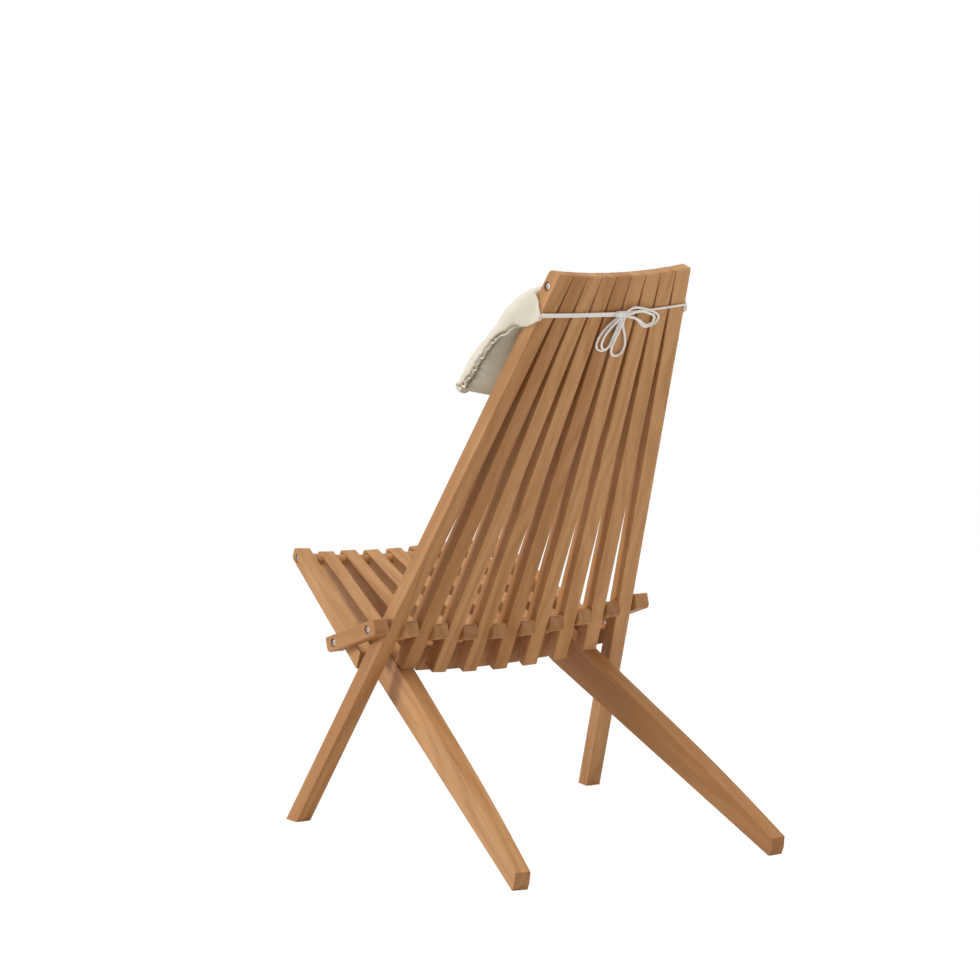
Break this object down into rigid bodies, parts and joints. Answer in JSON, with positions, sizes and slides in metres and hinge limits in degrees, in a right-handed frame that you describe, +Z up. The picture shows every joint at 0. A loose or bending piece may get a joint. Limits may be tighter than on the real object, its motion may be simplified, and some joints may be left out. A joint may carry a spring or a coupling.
{
  "type": "folding chair",
  "caption": "Folding slatted teak chair: splayed back and seat sticks on steel rods, linked by blocks so the seat folds up to the back, with a tied head pillow.",
  "frame": {"origin": "on the floor, under the middle of the unfolded chair's bounding box", "axes": "+Z up, -Y the way the sitter faces, +X the sitter's left"},
  "size_m": [0.5658, 0.7747, 0.8876],
  "materials": {
    "teak": "oiled teak, satin",
    "steel": "stainless, satin",
    "linen": "woven linen, unbleached",
    "cord": "soft cotton cord, white"
  },
  "bodies": {
    "back": {"back_slat_1": "teak", "back_slat_2": "teak", "back_slat_3": "teak", "back_slat_4": "teak", "back_slat_5": "teak", "back_slat_6": "teak", "back_slat_7": "teak", "bow_loop_left_inner": "cord", "bow_loop_left_outer": "cord", "bow_loop_middle": "cord", "bow_loop_right_inner": "cord", "bow_loop_right_outer": "cord", "front_leg_left": "teak", "front_leg_right": "teak", "head_pillow": "linen", "lumbar_rod": "steel", "lumbar_rod_nuts": "steel", "pillow_tab_left": "linen", "pillow_tab_right": "linen", "tie_cord_left_lower": "cord", "tie_cord_left_upper": "cord", "tie_cord_right": "cord", "tie_knot": "cord", "top_rod": "steel", "top_rod_nuts": "steel"},
    "links": {"link_1": "teak", "link_2": "teak", "link_3": "teak", "link_4": "teak", "link_5": "teak", "link_6": "teak", "link_7": "teak", "link_8": "teak", "link_left": "teak", "link_right": "teak", "seat_rod": "steel", "seat_rod_nuts": "steel"},
    "seat": {"front_rod": "steel", "front_rod_nuts": "steel", "front_spacer_1": "teak", "front_spacer_2": "teak", "front_spacer_3": "teak", "front_spacer_4": "teak", "front_spacer_5": "teak", "front_spacer_6": "teak", "front_spacer_7": "teak", "front_spacer_8": "teak", "rear_leg_left": "teak", "rear_leg_right": "teak", "seat_slat_1": "teak", "seat_slat_2": "teak", "seat_slat_3": "teak", "seat_slat_4": "teak", "seat_slat_5": "teak", "seat_slat_left": "teak", "seat_slat_right": "teak"}
  },
  "joints": [
    {"name": "link_fold", "type": "hinge", "parent": "back", "child": "links", "pos_m": [0, -0.0266, 0.325], "axis": [1, 0, 0], "range_deg": [0, 10]},
    {"name": "seat_fold", "type": "hinge", "parent": "links", "child": "seat", "pos_m": [0, -0.1326, 0.2895], "axis": [1, 0, 0], "range_deg": [-106, 0]}
  ],
  "couplings": [
    {"joint": "link_fold", "follows": "seat_fold", "ratio": -0.094339}
  ]
}
